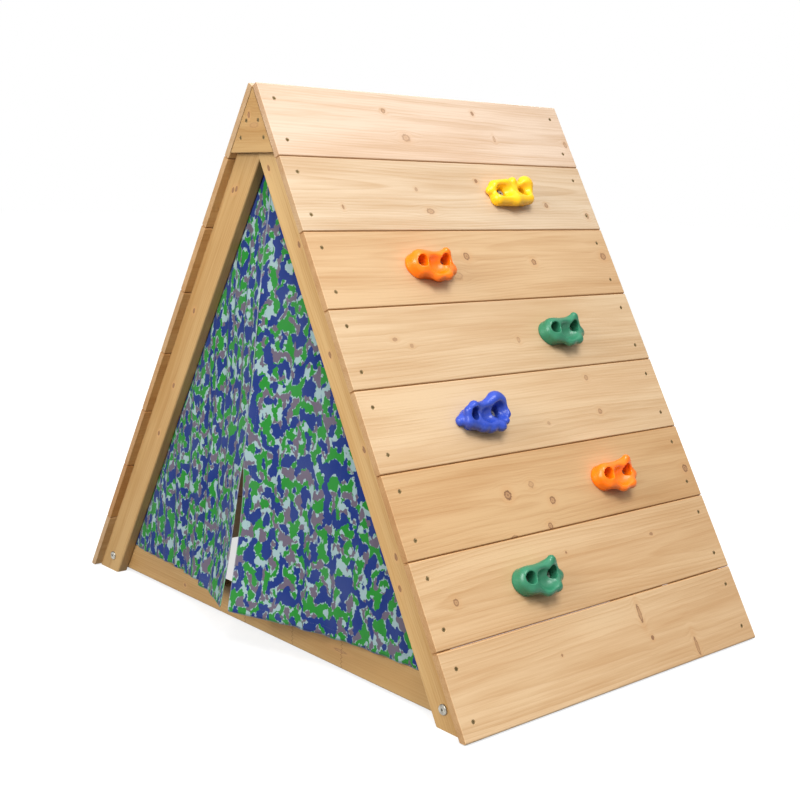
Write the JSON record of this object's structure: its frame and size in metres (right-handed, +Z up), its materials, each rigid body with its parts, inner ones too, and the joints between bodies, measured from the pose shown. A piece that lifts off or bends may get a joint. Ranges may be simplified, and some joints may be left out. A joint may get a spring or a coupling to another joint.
{
  "type": "climbing den",
  "caption": "Child's A-frame wooden climbing den: planked sloping walls, moulded climbing holds on one wall, and swinging fabric curtains closing the triangular ends.",
  "frame": {"origin": "on the floor, under the middle of the ridge: the bottom centre of the bounding box", "axes": "+Z up; Y along the ridge, with the pictured curtained end at -Y; +X towards the wall that carries the climbing holds"},
  "size_m": [1.1426, 0.8854, 1.0152],
  "materials": {
    "board_wood": "satin, planed softwood",
    "frame_wood": "satin, planed softwood",
    "hold_yellow": "semi-gloss moulded",
    "hold_orange": "semi-gloss moulded",
    "hold_green": "semi-gloss moulded",
    "hold_blue": "semi-gloss moulded",
    "curtain_fabric": "matt printed cotton",
    "screw_steel": "dull passivated",
    "zinc_steel": "bright zinc plated"
  },
  "bodies": {
    "frame": {"climbing_board_1": "board_wood", "climbing_board_2": "board_wood", "climbing_board_3": "board_wood", "climbing_board_4": "board_wood", "climbing_board_5": "board_wood", "climbing_board_6": "board_wood", "climbing_board_7": "board_wood", "climbing_board_8": "board_wood", "plain_board_1": "board_wood", "plain_board_2": "board_wood", "plain_board_3": "board_wood", "plain_board_4": "board_wood", "plain_board_5": "board_wood", "plain_board_6": "board_wood", "plain_board_7": "board_wood", "plain_board_8": "board_wood", "front_post_climbing_side": "frame_wood", "front_post_plain_side": "frame_wood", "back_post_climbing_side": "frame_wood", "back_post_plain_side": "frame_wood", "front_bottom_rail": "frame_wood", "back_bottom_rail": "frame_wood", "front_gusset": "frame_wood", "back_gusset": "frame_wood", "yellow_hold_board_2": "hold_yellow", "orange_hold_board_3": "hold_orange", "green_hold_board_4": "hold_green", "blue_hold_board_5": "hold_blue", "orange_hold_board_6": "hold_orange", "green_hold_board_7": "hold_green", "front_curtain_climbing_side_margin": "curtain_fabric", "front_curtain_plain_side_margin": "curtain_fabric", "back_curtain_climbing_side_margin": "curtain_fabric", "back_curtain_plain_side_margin": "curtain_fabric", "climbing_wall_screws": "screw_steel", "plain_wall_screws": "screw_steel", "gusset_screws": "screw_steel", "frame_bolts": "zinc_steel", "frame_sleeve_nuts": "zinc_steel", "hold_bolts": "zinc_steel", "hold_washers": "zinc_steel", "hold_tee_nuts": "zinc_steel", "curtain_tacks": "zinc_steel"},
    "front_curtain_climbing_side_flap": {"front_curtain_climbing_side": "curtain_fabric"},
    "front_curtain_plain_side_flap": {"front_curtain_plain_side": "curtain_fabric"},
    "back_curtain_climbing_side_flap": {"back_curtain_climbing_side": "curtain_fabric"},
    "back_curtain_plain_side_flap": {"back_curtain_plain_side": "curtain_fabric"}
  },
  "joints": [
    {"name": "front_curtain_climbing_side_swing", "type": "hinge", "parent": "frame", "child": "front_curtain_climbing_side_flap", "pos_m": [0.22512, -0.358, 0.47], "axis": [-0.4848, 0, 0.8746], "range_deg": [-62, 68]},
    {"name": "front_curtain_plain_side_swing", "type": "hinge", "parent": "frame", "child": "front_curtain_plain_side_flap", "pos_m": [-0.22512, -0.358, 0.47], "axis": [-0.4848, 0, -0.8746], "range_deg": [-62, 68]},
    {"name": "back_curtain_climbing_side_swing", "type": "hinge", "parent": "frame", "child": "back_curtain_climbing_side_flap", "pos_m": [0.22512, 0.358, 0.47], "axis": [0.4848, 0, -0.8746], "range_deg": [-62, 68]},
    {"name": "back_curtain_plain_side_swing", "type": "hinge", "parent": "frame", "child": "back_curtain_plain_side_flap", "pos_m": [-0.22512, 0.358, 0.47], "axis": [0.4848, 0, 0.8746], "range_deg": [-62, 68]}
  ]
}
